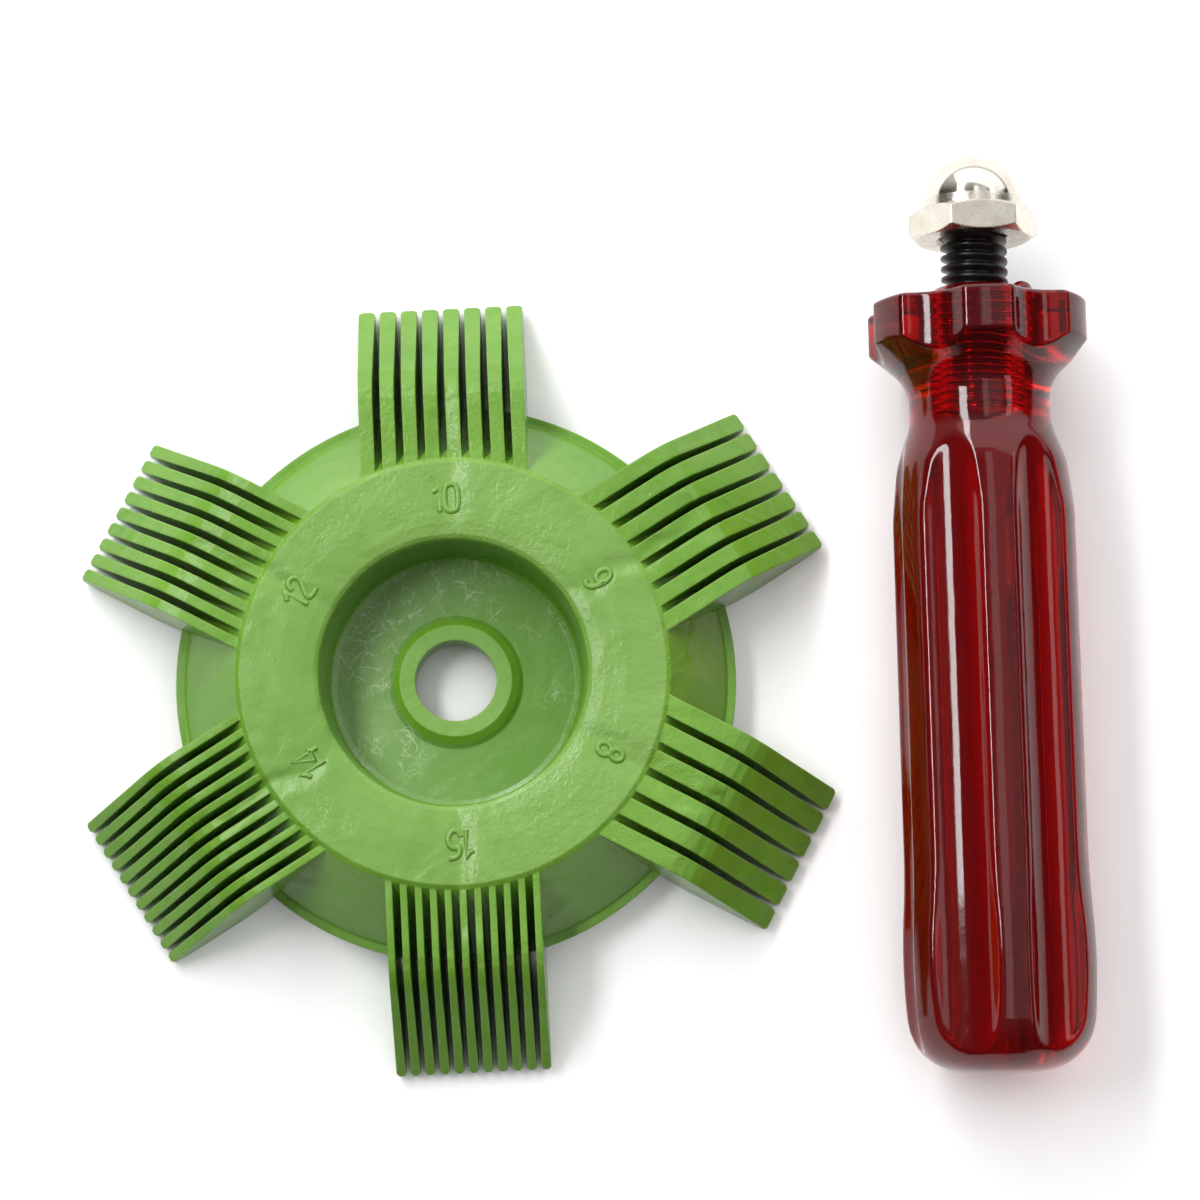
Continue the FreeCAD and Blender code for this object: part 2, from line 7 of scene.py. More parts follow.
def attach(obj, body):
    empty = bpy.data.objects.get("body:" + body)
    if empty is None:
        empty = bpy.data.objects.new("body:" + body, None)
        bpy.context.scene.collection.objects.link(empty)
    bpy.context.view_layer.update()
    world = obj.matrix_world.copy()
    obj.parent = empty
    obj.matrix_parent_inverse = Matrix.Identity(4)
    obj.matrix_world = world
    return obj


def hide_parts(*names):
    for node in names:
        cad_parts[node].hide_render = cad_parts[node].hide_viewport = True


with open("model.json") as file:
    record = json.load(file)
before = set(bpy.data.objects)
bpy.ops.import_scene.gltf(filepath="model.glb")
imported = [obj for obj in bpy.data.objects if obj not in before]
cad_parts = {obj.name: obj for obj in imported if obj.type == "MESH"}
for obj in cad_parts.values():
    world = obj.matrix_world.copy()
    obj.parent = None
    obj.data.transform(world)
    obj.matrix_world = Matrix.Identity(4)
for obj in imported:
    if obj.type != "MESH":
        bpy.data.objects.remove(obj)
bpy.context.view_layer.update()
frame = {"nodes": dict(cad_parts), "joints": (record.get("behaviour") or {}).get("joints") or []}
nodes = frame["nodes"]
MM = 0.001
FLOOR = -5.4 * MM
RING_TOP = 8.0 * MM
RING_REACH = 25.0 * MM
RECESS_BELOW, RECESS_WITHIN = -0.85 * MM, 15.2 * MM
CREASE_WIDTH = 1.6 * MM
ARM_AT = math.radians(32.87)

# Lay of the handle: foot of its axis at the butt and the directions along it
JOINT = [j for j in frame["joints"] if j["name"] == "nut_turn"][0]
ALONG = Vector(JOINT["axis"]).normalized()
NUT_FOOT = Vector(JOINT["pos_m"])
RIGHT = ALONG.cross(Vector((0, 0, 1))).normalized()
OVER = RIGHT.cross(ALONG)


# Node helpers
def new_material(name):
    m = bpy.data.materials.new(name)
    m.use_nodes = True
    m.node_tree.nodes.clear()
    return m, m.node_tree


class Graph:
    def __init__(self, tree):
        self.tree = tree

    def add(self, kind, values=None, **props):
        n = self.tree.nodes.new(kind)
        for k, v in props.items():
            setattr(n, k, v)
        for k, v in (values or {}).items():
            if isinstance(v, bpy.types.NodeSocket):
                self.tree.links.new(v, n.inputs[k])
            else:
                n.inputs[k].default_value = v
        return n

    def math(self, op, a, b=0.0, c=0.0, clamp=False):
        n = self.add("ShaderNodeMath", {0: a, 1: b, 2: c}, operation=op, use_clamp=clamp)
        return n.outputs[0]

    def ramp(self, fac, stops, interpolation="LINEAR"):
        n = self.add("ShaderNodeValToRGB", {"Fac": fac})
        r = n.color_ramp
        r.interpolation = interpolation
        while len(r.elements) > 1:
            r.elements.remove(r.elements[-1])
        for i, (pos, col) in enumerate(stops):
            e = r.elements[0] if i == 0 else r.elements.new(pos)
            e.position = pos
            e.color = col if len(col) == 4 else (*col, 1)
        return n.outputs["Color"]

    def grey(self, fac, stops):
        return self.ramp(fac, [(p, (v, v, v, 1)) for p, v in stops])

    def mix(self, fac, a, b, blend="MIX"):
        n = self.add("ShaderNodeMix", {0: fac, 6: a, 7: b}, data_type="RGBA", blend_type=blend)
        return n.outputs[2]

    def times(self, a, b):
        return self.math("MULTIPLY", a, b)

    def axes(self, vector):
        return self.add("ShaderNodeSeparateXYZ", {0: vector}).outputs

    def noise(self, vector, scale, detail=4.0, rough=0.5, distortion=0.0):
        values = {"Vector": vector, "Scale": scale, "Detail": detail}
        values.update({"Roughness": rough, "Distortion": distortion})
        return self.add("ShaderNodeTexNoise", values).outputs["Fac"]

    def cell_edges(self, vector, scale):
        # distance to the nearest edge between random cells
        values = {"Vector": vector, "Scale": scale}
        return self.add("ShaderNodeTexVoronoi", values, feature="DISTANCE_TO_EDGE").outputs["Distance"]

    def bump(self, height, strength, distance, normal=None):
        values = {"Height": height, "Strength": strength, "Distance": distance}
        if normal is not None:
            values["Normal"] = normal
        return self.add("ShaderNodeBump", values).outputs["Normal"]

    def plastic(self, colour, rough, normal, ior):
        values = {"Base Color": colour, "Roughness": rough, "Normal": normal, "IOR": ior}
        return self.add("ShaderNodeBsdfPrincipled", values)

    def finish(self, shader, volume=None):
        out = self.add("ShaderNodeOutputMaterial", {"Surface": shader})
        if volume is not None:
            self.tree.links.new(volume, out.inputs["Volume"])


def srgb(r, g, b):
    shares = [c / 255 for c in (r, g, b)]
    linear = [c / 12.92 if c <= 0.04 else ((c + 0.055) / 1.055) ** 2.4 for c in shares]
    return (*linear, 1.0)


# Green moulded plastic of the comb wheel
mat, tree = new_material("green_plastic")
g = Graph(tree)
coord = g.add("ShaderNodeTexCoord").outputs["Object"]
x, y, z = g.add("ShaderNodeSeparateXYZ", {0: coord}).outputs
radius = g.math("SQRT", g.math("ADD", g.times(x, x), g.times(y, y)))
reach = g.times(radius, 1 / RING_REACH)
angle = g.math("ARCTAN2", y, x)
cloud = g.noise(coord, 60, 3, 0.5, 0.4)
fine = g.noise(coord, 520, 3, 0.55)
shades = [(0.3, (0.108, 0.280, 0.014, 1)), (0.55, (0.135, 0.318, 0.019, 1)), (0.75, (0.162, 0.356, 0.028, 1))]
body = g.ramp(cloud, shades)
body = g.mix(g.grey(fine, [(0.35, 0.0), (0.7, 0.22)]), body, (0.21, 0.41, 0.07, 1))
rounded = g.add("ShaderNodeBevel", {"Radius": 0.32 * MM}, samples=4).outputs["Normal"]
sharp = g.add("ShaderNodeNewGeometry").outputs["Normal"]
# Painted sheen: up-facing surfaces of the ring, mottled by the cloud noise, are lightened toward a pale green
mottle_and_painted_sheen = g.grey(g.axes(sharp)[2], [(0.80, 0.0), (0.97, 0.45)])
mottle_and_painted_sheen = g.times(mottle_and_painted_sheen, g.grey(reach, [(0.98, 1.0), (1.0, 0.2)]))
mottle_and_painted_sheen = g.times(mottle_and_painted_sheen, g.grey(cloud, [(0.3, 0.6), (0.7, 1.0)]))
body = g.mix(mottle_and_painted_sheen, body, (0.26, 0.43, 0.14, 1))
# Painted highlight: edges are lightened toward a pale green where the rounded normal turns away from the true
# one
turn = g.add("ShaderNodeVectorMath", {0: rounded, 1: sharp}, operation="DOT_PRODUCT").outputs["Value"]
edge = g.grey(turn, [(0.80, 0.55), (0.985, 0.0)])
body = g.mix(edge, body, (0.28, 0.50, 0.08, 1))
# Stress crackle on the floor of the recess, with painted shade darkening the recess floor and a painted sheen
# paling its left side
warp = g.add("ShaderNodeTexNoise", {"Vector": coord, "Scale": 380.0, "Detail": 3.0}).outputs["Color"]
warp = g.add("ShaderNodeVectorMath", {0: warp, 3: 0.0024}, operation="SCALE").outputs[0]
warp = g.add("ShaderNodeVectorMath", {0: coord, 1: warp}, operation="ADD").outputs[0]
cells = g.cell_edges(warp, 400.0)
broken = g.grey(g.noise(coord, 620, 2, 0.5), [(0.44, 0.0), (0.54, 1.0)])
twigs = g.cell_edges(warp, 640.0)
hair = g.times(g.grey(cells, [(0.0, 1.0), (0.012, 0.7), (0.026, 0.0)]), broken)
twig = g.grey(twigs, [(0.0, 0.7), (0.02, 0.4), (0.036, 0.0)])
twig = g.times(twig, g.grey(g.noise(coord, 260, 2, 0.5), [(0.46, 0.0), (0.55, 1.0)]))
side = g.math("MULTIPLY_ADD", x, -22.0, g.times(y, 16.0))
patch = g.math("ADD", g.noise(coord, 120, 2, 0.5), g.times(side, 0.45))
patch = g.grey(patch, [(0.46, 0.0), (0.58, 1.0)])
low = g.math("LESS_THAN", z, RECESS_BELOW)
inside = g.math("LESS_THAN", radius, RECESS_WITHIN)
recess = g.times(low, inside)
crackle = g.times(g.times(g.math("MAXIMUM", hair, twig), patch), recess)
# Painted sheen: the left of the recess floor is paled toward a grey green
painted_recess_sheen = g.times(recess, g.grey(g.math("MULTIPLY_ADD", x, -28.0, 0.45), [(0.25, 0.0), (0.85, 0.62)]))
# Painted shade: the recess floor is darkened toward a deep green
body = g.mix(g.times(recess, 0.6), body, (0.085, 0.23, 0.018, 1))
body = g.mix(painted_recess_sheen, body, (0.24, 0.37, 0.15, 1))
body = g.mix(g.times(crackle, 0.62), body, (0.50, 0.60, 0.40, 1))
# Sink marks of the ring over the six arms, flow ripples and a fine peel
stray = g.math("MULTIPLY_ADD", g.noise(coord, 150, 2, 0.5), 0.22, -0.11 - ARM_AT)
local = g.math("WRAP", g.math("ADD", angle, stray), math.radians(30), math.radians(-30))
arc = g.times(g.times(local, radius), 1 / CREASE_WIDTH)
dip = g.math("EXPONENT", g.times(g.times(arc, arc), -1.0))
on_top = g.math("GREATER_THAN", z, 7.0 * MM)
on_ring = g.times(on_top, g.grey(reach, [(0.62, 0.35), (0.80, 1.0), (1.0, 1.0)]))
rim = g.grey(reach, [(0.62, 0.0), (0.70, 0.62), (0.80, 1.0)])
sink = g.math("SUBTRACT", g.times(rim, 1.5), g.times(dip, on_ring))
wave = g.noise(coord, 110, 2, 0.4, 1.4)
peel = g.noise(coord, 1500, 2, 0.5, 0.6)
peel_zone = g.grey(g.noise(coord, 45, 2, 0.5), [(0.42, 0.3), (0.62, 1.0)])
peel_zone = g.times(peel_zone, g.math("MULTIPLY_ADD", on_top, 0.7, 0.3))
grain = g.noise(coord, 3200, 2, 0.6)
normal = g.bump(sink, 1.0, 0.42 * MM, rounded)
normal = g.bump(wave, 0.8, 0.5 * MM, normal)
normal = g.bump(g.times(peel, peel_zone), 0.65, 0.15 * MM, normal)
normal = g.bump(grain, 0.6, 0.05 * MM, normal)
normal = g.bump(g.times(hair, recess), 0.2, 0.04 * MM, normal)
rough = g.grey(fine, [(0.3, 0.26), (0.7, 0.38)])
bsdf = g.plastic(body, rough, normal, 1.5)
bsdf.inputs["Specular IOR Level"].default_value = 0.38
bsdf.inputs["Coat Weight"].default_value = 0.2
bsdf.inputs["Coat Roughness"].default_value = 0.16
g.finish(bsdf.outputs[0])
GREEN = mat

# Dark red translucent plastic of the handle: mostly clear and deeply tinted, a little cloudy
mat, tree = new_material("red_translucent_plastic")
g = Graph(tree)
coord = g.add("ShaderNodeTexCoord").outputs["Object"]
ripple = g.noise(coord, 110, 2, 0.4, 0.6)
dust = g.noise(coord, 2600, 2, 0.6)
scuff = g.noise(coord, 700, 5, 0.7, 0.8)
normal = g.bump(ripple, 0.35, 0.22 * MM)
normal = g.bump(dust, 0.08, 0.05 * MM, normal)
rough = g.grey(scuff, [(0.45, 0.05), (0.62, 0.10), (0.8, 0.22)])
clear = g.plastic((0.95, 0.06, 0.08, 1), rough, normal, 1.45)
clear.inputs["Transmission Weight"].default_value = 1.0
cloudy = g.plastic((0.26, 0.001, 0.004, 1), rough, normal, 1.45)
both = g.add("ShaderNodeMixShader", {0: 0.16, 1: clear.outputs[0], 2: cloudy.outputs[0]})
absorb = g.add("ShaderNodeVolumeAbsorption")
absorb.inputs["Color"].default_value = (0.945, 0.01, 0.03, 1)
absorb.inputs["Density"].default_value = 600.0
g.finish(both.outputs[0], absorb.outputs[0])
RED = mat

# Black oxide steel of the stud
mat, tree = new_material("black_steel")
g = Graph(tree)
coord = g.add("ShaderNodeTexCoord").outputs["Object"]
grain = g.noise(coord, 900, 4, 0.6)
base = g.ramp(grain, [(0.3, srgb(16, 16, 17)), (0.7, srgb(34, 33, 32))])
rough = g.grey(grain, [(0.3, 0.28), (0.7, 0.42)])
bsdf = g.plastic(base, rough, g.bump(grain, 0.1, 0.05 * MM), 1.5)
bsdf.inputs["Metallic"].default_value = 0.6
g.finish(bsdf.outputs[0])
BLACK = mat

# Bright nickel plating of the nut
mat, tree = new_material("nickel_plating")
g = Graph(tree)
coord = g.add("ShaderNodeTexCoord").outputs["Object"]
mottle_and_painted_sheen = g.noise(coord, 500, 3, 0.5)
marks = g.noise(coord, 2200, 3, 0.6)
base = g.ramp(mottle_and_painted_sheen, [(0.3, (0.70, 0.65, 0.56, 1)), (0.7, (0.82, 0.77, 0.68, 1))])
reach = g.add("ShaderNodeVectorMath", {0: coord, 1: NUT_FOOT}, operation="SUBTRACT").outputs[0]
reach = g.add("ShaderNodeVectorMath", {0: reach, 1: ALONG}, operation="DOT_PRODUCT").outputs["Value"]
satin = g.math("LESS_THAN", reach, 4.6 * MM)
rough = g.math("MULTIPLY_ADD", satin, 0.14, g.grey(marks, [(0.4, 0.09), (0.75, 0.18)]))
rounded = g.add("ShaderNodeBevel", {"Radius": 0.3 * MM}, samples=4).outputs["Normal"]
bsdf = g.plastic(base, rough, g.bump(mottle_and_painted_sheen, 0.12, 0.06 * MM, rounded), 1.5)
bsdf.inputs["Metallic"].default_value = 1.0
g.finish(bsdf.outputs[0])
NICKEL = mat


def dress(name, material):
    mesh = nodes[name].data
    if not mesh.materials:
        mesh.materials.append(material)
    for i in range(len(mesh.materials)):
        mesh.materials[i] = material


dress("comb_wheel", GREEN)
dress("handle", RED)
dress("threaded_stud", BLACK)
dress("acorn_nut", NICKEL)


def add_mesh(name, verts, faces, material, smooth=True):
    mesh = bpy.data.meshes.new(name)
    mesh.from_pydata(verts, [], faces)
    mesh.update()
    mesh.materials.append(material)
    if smooth:
        mesh.polygons.foreach_set("use_smooth", [True] * len(mesh.polygons))
    obj = bpy.data.objects.new(name, mesh)
    bpy.context.scene.collection.objects.link(obj)
    return obj


# Rolled thread of the stud, over its whole length
STUD_R, PITCH, STUD_LONG = 3.93, 1.25, 28.4
ROOT = STUD_R - 0.62 * PITCH
STUD_FOOT = -(STUD_LONG - 7.4)
STEPS = 40
FLANK, CREST = STUD_R - 0.05, STUD_R - 0.012
profile = [(0.0, ROOT), (0.18, ROOT + 0.04), (0.44, FLANK), (0.54, CREST), (0.66, CREST), (0.76, FLANK)]
verts, faces = [], []
turns = int(STUD_LONG / PITCH)
rows = turns * STEPS + 1
for i in range(rows):
    a = 2 * math.pi * i / STEPS
    lift = PITCH * i / STEPS
    ray = RIGHT * math.cos(a) + OVER * math.sin(a)
    for t, r in profile:
        s = min(STUD_LONG, lift + t * PITCH)
        fade = min(1.0, max(0.0, min(s, STUD_LONG - s) / 0.8))
        rad = (r - (1 - fade) * 0.55) if r > ROOT + 0.1 else r - (1 - fade) * 0.1
        verts.append(NUT_FOOT + ALONG * (STUD_FOOT + s) * MM + ray * rad * MM)
k = len(profile)
for i in range(rows - 1):
    for j in range(k - 1):
        faces.append((i * k + j, (i + 1) * k + j, (i + 1) * k + j + 1, i * k + j + 1))
    if i + STEPS < rows - 1:
        faces.append((i * k + k - 1, (i + 1) * k + k - 1, (i + 1 + STEPS) * k, (i + STEPS) * k))
for end, s in ((0, 0.0), (1, STUD_LONG)):
    base = len(verts)
    for i in range(STEPS):
        a = 2 * math.pi * i / STEPS
        ray = RIGHT * math.cos(a) + OVER * math.sin(a)
        verts.append(NUT_FOOT + ALONG * (STUD_FOOT + s) * MM + ray * (ROOT + 0.02) * MM)
    faces.append(tuple(base + i for i in (range(STEPS) if end else reversed(range(STEPS)))))
thread = add_mesh("stud_thread", verts, faces, BLACK)
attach(thread, "tool")
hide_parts("threaded_stud")

# Moulded handle with soft rib edges, its stud seat threaded as the stud is.
# Stations are millimetres along the axis from the butt end.
BUTT_RADIUS, BUTT_CROWN, BUTT_ROUND = 10.47, 0.7, 7.0
BULGE_RADIUS, BULGE_STATION, BULGE_REACH, BULGE_FADE = 11.3, 13.0, 5.0, 8.0
GRIP_RADIUS, GRIP_END = 10.75, 64.5
SHOULDER_RADIUS, SHOULDER_STATION = 9.98, 70.4
NECK_RADIUS, NECK_START, NECK_END = 8.22, 75.1, 80.1
COLLAR_RADIUS, COLLAR_BACK, FACE = 13.0, 84.35, 89.3
NOSE_FOOT, NOSE_WAIST, NOSE_RADIUS, NOSE_END = 8.0, 5.9, 4.9, 91.3
CROWN = 0.9
NUT_STATION = NOSE_END + 6.0
SEAT_DEPTH, DRILL_POINT, SEAT_GAP = 15.0, 2.3, 0.03
RIBS = 6
ROLL = math.radians(90 - 180 / RIBS + 3.5)
FLUTE_RADIUS, FLUTE_DEPTH, FLUTE_SOFT = 6.5, 1.58, 0.42
SCALLOP_RADIUS, SCALLOP_DEPTH, SCALLOP_SOFT = 6.4, 1.8, 0.45
LUG_TURN = math.radians(-3)
NUB_RADIUS, NUB_OFFSET, NUB_TURN, NUB_STATION = 1.3, 6.6, math.radians(-105.5), FACE + 0.75
SEGMENTS = 240


def soft_corners(points):
    # rounds each corner (radius, station, corner radius) with short steps
    out = []
    for i, (r, at, size) in enumerate(points):
        here = Vector((r, at))
        if not size:
            out.append(here)
            continue
        back = (Vector(points[i - 1][:2]) - here).normalized()
        on = (Vector(points[i + 1][:2]) - here).normalized()
        half = back.angle(on) / 2
        centre = here + (back + on).normalized() * (size / math.sin(half))
        a = here + back * (size / math.tan(half)) - centre
        b = here + on * (size / math.tan(half)) - centre
        first = math.atan2(a.y, a.x)
        sweep = math.atan2(a.x * b.y - a.y * b.x, a.dot(b))
        steps = max(3, math.ceil(abs(sweep) * 14))
        for k in range(steps + 1):
            way = first + sweep * k / steps
            out.append(centre + Vector((math.cos(way), math.sin(way))) * size)
    return out


def fill_runs(points, longest):
    # adds stations along straight runs, with one close to each end
    out = [points[0]]
    for a, b in zip(points, points[1:]):
        length = (b - a).length
        step = longest(0.5 * (a.y + b.y))
        if length > 0.3:
            n = max(1, math.ceil((length - 0.1) / step))
            stops = [0.05 / length + (1 - 0.1 / length) * k / n for k in range(n + 1)]
            out += [a.lerp(b, t) for t in stops]
        out.append(b)
    return out


def soft_min(a, b, size):
    h = max(size - abs(a - b), 0.0) / size
    return min(a, b) - h * h * size / 4


def cutter(centre, size, offset):
    # radius at which a ray leaves the axis and meets a round cutter
    d = centre * math.sin(offset)
    return centre * math.cos(offset) - math.sqrt(size * size - d * d) if abs(d) < size else 99.0


swell = 2 * math.atan((BULGE_RADIUS - GRIP_RADIUS) / (BULGE_REACH + BULGE_FADE))
crest = BULGE_REACH / math.sin(swell)
fade_radius = BULGE_FADE / math.sin(swell)
outer = soft_corners([
    (0.0, 0.0, 0),
    (BUTT_RADIUS, BUTT_CROWN, BUTT_ROUND),
    (BULGE_RADIUS - crest * (1 - math.cos(swell)), BULGE_STATION - BULGE_REACH, 0),
])
for k in range(1, 11):
    at = BULGE_REACH * (k / 5 - 1)
    outer.append(Vector((BULGE_RADIUS - crest + math.sqrt(crest ** 2 - at ** 2), BULGE_STATION + at)))
for k in range(1, 8):
    at = BULGE_FADE * (1 - k / 8)
    fall = fade_radius - math.sqrt(fade_radius ** 2 - at ** 2)
    outer.append(Vector((GRIP_RADIUS + fall, BULGE_STATION + BULGE_REACH + BULGE_FADE - at)))
outer += soft_corners([
    (GRIP_RADIUS, BULGE_STATION + BULGE_REACH + BULGE_FADE, 0),
    (GRIP_RADIUS, GRIP_END, 20.0),
    (SHOULDER_RADIUS, SHOULDER_STATION, 9.0),
    (NECK_RADIUS, NECK_START, 6.5),
    (NECK_RADIUS, NECK_END, 5.4),
    (COLLAR_RADIUS, COLLAR_BACK, 0.75),
    (COLLAR_RADIUS, FACE, 0.6),
    (NOSE_FOOT, FACE + 0.6 * CROWN, 1.5),
    (NOSE_WAIST, FACE + CROWN, 0.3),
    (NOSE_RADIUS, NOSE_END, 0.25),
    (STUD_R + 0.02, NOSE_END, 0),
])
STEPS_UP_TO = [(9.0, 0.5), (63.0, 1.6), (82.0, 0.30), (85.2, 0.14), (NOSE_END + 1.0, 0.25)]
outer = fill_runs(outer, lambda at: next(step for end, step in STEPS_UP_TO if at < end))
FLUTE_AT = GRIP_RADIUS - FLUTE_DEPTH + FLUTE_RADIUS
SCALLOP_AT = COLLAR_RADIUS - SCALLOP_DEPTH + SCALLOP_RADIUS
spacing = 2 * math.pi / RIBS
rays, flute_cut, scallop_cut, nub_ray = [], [], [], []
for j in range(SEGMENTS):
    phi = 2 * math.pi * j / SEGMENTS
    psi = phi + ROLL
    rays.append(RIGHT * math.cos(psi) - OVER * math.sin(psi))
    flute_cut.append(cutter(FLUTE_AT, FLUTE_RADIUS, (phi + spacing / 2) % spacing - spacing / 2))
    off_lug = (phi - LUG_TURN + spacing / 2) % spacing - spacing / 2
    scallop_cut.append(cutter(SCALLOP_AT, SCALLOP_RADIUS, off_lug))
    nub_ray.append(phi - NUB_TURN)


def thread_radius(turns):
    # radius of the stud's rolled thread at a share of one turn
    t = turns % 1.0
    stops = profile + [(1.0, ROOT)]
    for (t0, r0), (t1, r1) in zip(stops, stops[1:]):
        if t <= t1:
            return r0 + (r1 - r0) * (t - t0) / (t1 - t0)


def handle_row(r, at, past_face):
    row = []
    for j in range(SEGMENTS):
        radius, station = r, at
        if at < NECK_END:
            radius = soft_min(r, flute_cut[j], FLUTE_SOFT) if r > 3 else r
        elif not past_face:
            radius = soft_min(r, scallop_cut[j], SCALLOP_SOFT)
        elif r > NOSE_FOOT:
            edge = soft_min(COLLAR_RADIUS, scallop_cut[j], SCALLOP_SOFT)
            share = min(1.0, (r - NOSE_FOOT) / (COLLAR_RADIUS - 1.2 - NOSE_FOOT))
            radius = r - (COLLAR_RADIUS - edge) * share
        if past_face and NOSE_RADIUS < radius < NOSE_FOOT + 0.2:
            near = radius ** 2 + NUB_OFFSET ** 2 - 2 * radius * NUB_OFFSET * math.cos(nub_ray[j])
            if near < NUB_RADIUS ** 2:
                station = max(station, NUB_STATION + math.sqrt(NUB_RADIUS ** 2 - near))
        row.append(NUT_FOOT + (ALONG * (station - NUT_STATION) + rays[j] * radius) * MM)
    return row


verts, faces = [], []
rows = [handle_row(p.x, p.y, p.y > FACE - 0.7) for p in outer[1:]]
THREAD_ROWS = 10
foot = NOSE_END - SEAT_DEPTH
for i in range(int(SEAT_DEPTH / PITCH * THREAD_ROWS) + 1):
    at = NOSE_END - i * PITCH / THREAD_ROWS
    row = []
    for j in range(SEGMENTS):
        psi = 2 * math.pi * j / SEGMENTS + ROLL
        tight = min(1.0, i * PITCH / THREAD_ROWS / 0.6, (at - foot) / 0.6)
        radius = thread_radius((at - foot) / PITCH + psi / (2 * math.pi)) + SEAT_GAP
        radius = STUD_R + 0.02 - (STUD_R + 0.02 - radius) * max(0.0, tight)
        row.append(NUT_FOOT + (ALONG * (at - NUT_STATION) + rays[j] * radius) * MM)
    rows.append(row)
for row in rows:
    verts += row
for i in range(len(rows) - 1):
    for j in range(SEGMENTS):
        k = (j + 1) % SEGMENTS
        faces.append((i * SEGMENTS + j, i * SEGMENTS + k, (i + 1) * SEGMENTS + k, (i + 1) * SEGMENTS + j))
butt, tip = len(verts), len(verts) + 1
verts += [NUT_FOOT - ALONG * NUT_STATION * MM, NUT_FOOT + ALONG * (foot - DRILL_POINT - NUT_STATION) * MM]
last = (len(rows) - 1) * SEGMENTS
for j in range(SEGMENTS):
    k = (j + 1) % SEGMENTS
    faces.append((butt, k, j))
    faces.append((tip, last + j, last + k))
moulding = add_mesh("handle_moulding", verts, faces, RED)
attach(moulding, "tool")
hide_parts("handle")

# Raised numbers on the ring: rounded strokes, tops outward
DIGITS = {
    "0": [[
        (0.9, 0.0), (0.35, 0.25), (0.0, 1.2), (0.0, 2.5), (0.0, 3.8), (0.35, 4.75), (0.9, 5.0), (1.55, 5.0),
        (2.1, 4.75), (2.45, 3.8), (2.45, 2.5), (2.45, 1.2), (2.1, 0.25), (1.55, 0.0), (0.9, 0.0),
    ]],
    "1": [[(0.0, 3.7), (0.75, 4.1), (1.2, 5.0), (1.2, 0.0)]],
    "2": [[
        (0.0, 3.7), (0.2, 4.55), (0.85, 5.0), (1.6, 5.0), (2.25, 4.5), (2.4, 3.7), (2.1, 2.9), (1.2, 2.0),
        (0.4, 1.1), (0.0, 0.0), (2.4, 0.0),
    ]],
    "4": [[(1.85, 0.0), (1.85, 5.0), (0.0, 1.5), (2.5, 1.5)]],
    "5": [[
        (2.2, 5.0), (0.45, 5.0), (0.2, 2.7), (0.8, 3.15), (1.5, 3.15), (2.15, 2.6), (2.35, 1.6), (2.1, 0.6),
        (1.45, 0.0), (0.75, 0.0), (0.2, 0.4), (0.0, 1.1),
    ]],
    "8": [[
        (1.2, 2.7), (0.5, 2.95), (0.15, 3.75), (0.45, 4.7), (1.2, 5.0), (1.95, 4.7), (2.25, 3.75), (1.9, 2.95),
        (1.2, 2.7), (0.4, 2.35), (0.0, 1.4), (0.35, 0.35), (1.2, 0.0), (2.05, 0.35), (2.4, 1.4),
        (2.0, 2.35), (1.2, 2.7),
    ]],
    "9": [[
        (2.3, 3.0), (1.75, 2.2), (1.05, 2.05), (0.35, 2.5), (0.05, 3.5), (0.35, 4.6), (1.1, 5.0), (1.9, 4.7),
        (2.35, 3.7), (2.3, 2.2), (1.95, 0.8), (1.3, 0.05), (0.6, 0.05), (0.15, 0.6),
    ]],
}
WIDE = {"0": 2.45, "1": 1.2, "2": 2.4, "4": 2.5, "5": 2.35, "8": 2.4, "9": 2.35}
LABELS = [
    ("10", 92.87, 20.4),
    ("9", 32.87, 20.0),
    ("8", -27.13, 20.4),
    ("15", -87.13, 20.0),
    ("14", -147.13, 19.5),
    ("12", 152.87, 20.2),
]
SMALL = 3.2 / 5.0
for text, azimuth, reach in LABELS:
    curve = bpy.data.curves.new("number_" + text, "CURVE")
    curve.dimensions = "3D"
    curve.bevel_depth = 0.42 * MM
    curve.bevel_resolution = 3
    gap = 0.95
    total = sum(WIDE[c] for c in text) + gap * (len(text) - 1)
    at = -total / 2
    for c in text:
        for stroke in DIGITS[c]:
            loop = stroke[0] == stroke[-1]
            pts = stroke[:-1] if loop else stroke
            sp = curve.splines.new("POLY" if c in "14" else "NURBS")
            sp.points.add(len(pts) - 1)
            for p, (u, v) in zip(sp.points, pts):
                p.co = ((at + u) * SMALL * MM, (v - 2.5) * SMALL * MM, 0, 1)
            if c not in "14":
                sp.order_u = 3
                sp.use_endpoint_u = not loop
                sp.use_cyclic_u = loop
                sp.resolution_u = 6
        at += WIDE[c] + gap
    curve.materials.append(GREEN)
    number = bpy.data.objects.new("number_" + text, curve)
    bpy.context.scene.collection.objects.link(number)
    a = math.radians(azimuth)
    place = Vector((reach * MM * math.cos(a), reach * MM * math.sin(a), RING_TOP - 0.20 * MM))
    number.matrix_world = Matrix.Translation(place) @ Matrix.Rotation(a - math.pi / 2, 4, "Z")
    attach(number, "tool")

# Pale floor, with painted shade greying it far from the object
s = 3.0
corners = [(-s, -s, FLOOR), (s, -s, FLOOR), (s, s, FLOOR), (-s, s, FLOOR)]
floor = add_mesh("floor", corners, [(0, 1, 2, 3)], None, False)
mat, tree = new_material("pale_floor")
g = Graph(tree)
coord = g.add("ShaderNodeTexCoord").outputs["Object"]
far = g.add("ShaderNodeVectorMath", {0: coord}, operation="LENGTH").outputs["Value"]
path = g.add("ShaderNodeLightPath").outputs
seen = g.math("MAXIMUM", path["Is Glossy Ray"], path["Is Transmission Ray"])
seen = g.math("MAXIMUM", path["Is Camera Ray"], seen)
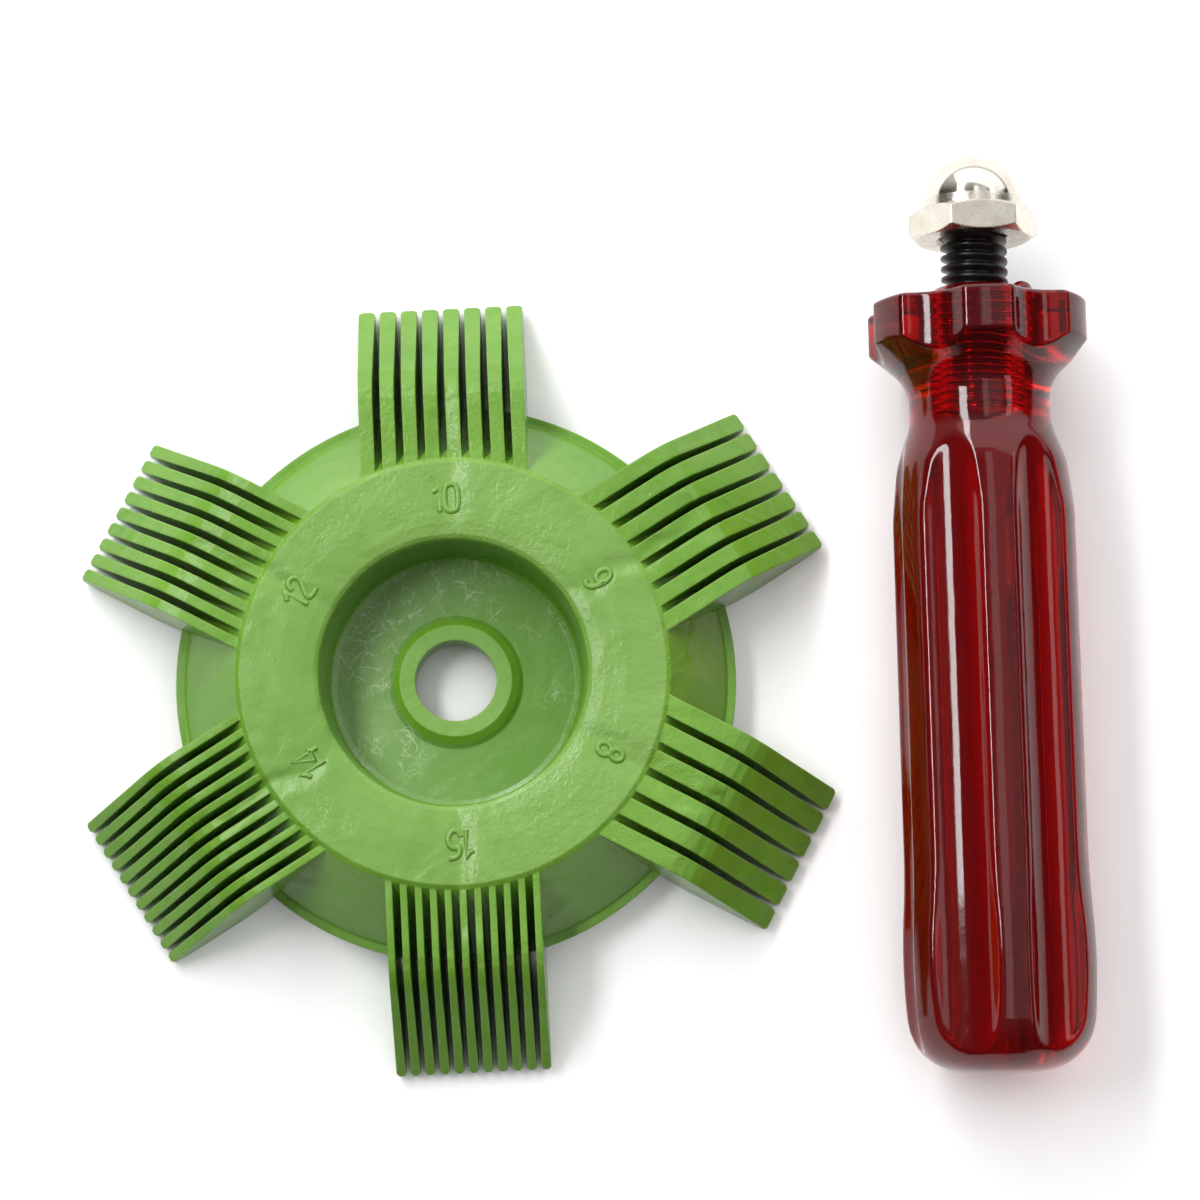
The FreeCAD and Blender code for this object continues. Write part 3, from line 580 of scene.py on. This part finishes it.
# Painted shade: the floor darkens with distance, more steeply for rays other than camera, glossy and
# transmission rays
tone = g.grey(g.times(far, 1 / s), [(0.035, 0.96), (0.09, 0.40), (0.2, 0.10)])
tone = g.mix(seen, tone, g.grey(g.times(far, 1 / s), [(0.1, 0.78), (0.5, 0.6)]))
bsdf = g.add("ShaderNodeBsdfPrincipled", {"Base Color": tone, "Roughness": 0.9})
bsdf.inputs["Specular IOR Level"].default_value = 0.2
open_sky = g.add("ShaderNodeAmbientOcclusion", {"Distance": 14 * MM}, samples=12).outputs["AO"]
lift = g.times(g.times(seen, 0.36), g.grey(open_sky, [(0.25, 0.0), (0.8, 1.0)]))
glow = g.add("ShaderNodeEmission", {"Color": (1, 1, 1, 1), "Strength": lift})
g.finish(g.add("ShaderNodeAddShader", {0: bsdf.outputs[0], 1: glow.outputs[0]}).outputs[0])
floor.data.materials.clear()
floor.data.materials.append(mat)


def lay(axes, place):
    # matrix of an object with these three axes at this place
    rows = [(axes[0][i], axes[1][i], axes[2][i], place[i]) for i in range(3)]
    return Matrix(rows + [(0, 0, 0, 1)])


# Soft studio light: flat panels given by their centre, size and radiance
def panel(name, at, look, size, radiance, long_side=Vector((0, 1, 0))):
    light = bpy.data.lights.new(name, "AREA")
    light.shape = "RECTANGLE"
    light.size, light.size_y = size
    light.energy = radiance * math.pi * size[0] * size[1]
    obj = bpy.data.objects.new(name, light)
    bpy.context.scene.collection.objects.link(obj)
    back = (Vector(at) - Vector(look)).normalized()
    across = long_side.cross(back).normalized()
    along = back.cross(across)
    obj.matrix_world = lay((across, along, back), at)
    return obj


panel("key", (-0.335, 0.59, 0.636), (0.04, 0.59, 0.0), (0.155, 1.22), 14.5)
panel("top", (0.32, 0.95, 0.5), (0.05, 0.0, 0.0), (2.2, 0.85), 1.1, Vector((0, 0, 1)))
panel("over", (0.14, 0.15, 0.95), (0.06, 0.1, 0.0), (0.16, 1.0), 1.3)
panel("over_right", (0.42, 0.15, 0.9), (0.2, 0.1, 0.0), (0.38, 1.0), 0.42)
panel("right", (0.80, 0.15, 0.80), (0.1, 0.1, 0.0), (0.17, 1.2), 2.0)
world = bpy.data.worlds.new("studio")
bpy.context.scene.world = world
world.use_nodes = True
world.node_tree.nodes.clear()
g = Graph(world.node_tree)
around = g.axes(g.add("ShaderNodeTexCoord").outputs["Generated"])
glow = g.grey(around[2], [(0.0, 0.05), (0.60, 0.09), (0.82, 0.17), (0.93, 0.24)])
glow = g.math("ADD", glow, g.grey(around[1], [(0.45, 0.0), (0.75, 0.55)]))
back = g.add("ShaderNodeBackground", {"Color": (1, 1, 1, 1), "Strength": glow})
out = g.add("ShaderNodeOutputWorld", {"Surface": back.outputs[0]})

# Camera at the photograph's viewing angle
cam = bpy.data.cameras.new("camera")
cam.lens = 108.0
cam.sensor_width = 36.0
cam.clip_start = 0.02
camera = bpy.data.objects.new("camera", cam)
bpy.context.scene.collection.objects.link(camera)
look = Vector((-0.00143, 0.15575, -0.98779)).normalized()
up = Vector((0.00011, 0.98780, 0.15575))
side = look.cross(up).normalized()
up = side.cross(look)
eye = (17.568 * MM, -56.573 * MM, RING_TOP + 411.666 * MM)
camera.matrix_world = lay((side, up, -look), eye)
bpy.context.scene.camera = camera
bpy.context.scene.view_settings.view_transform = "Standard"
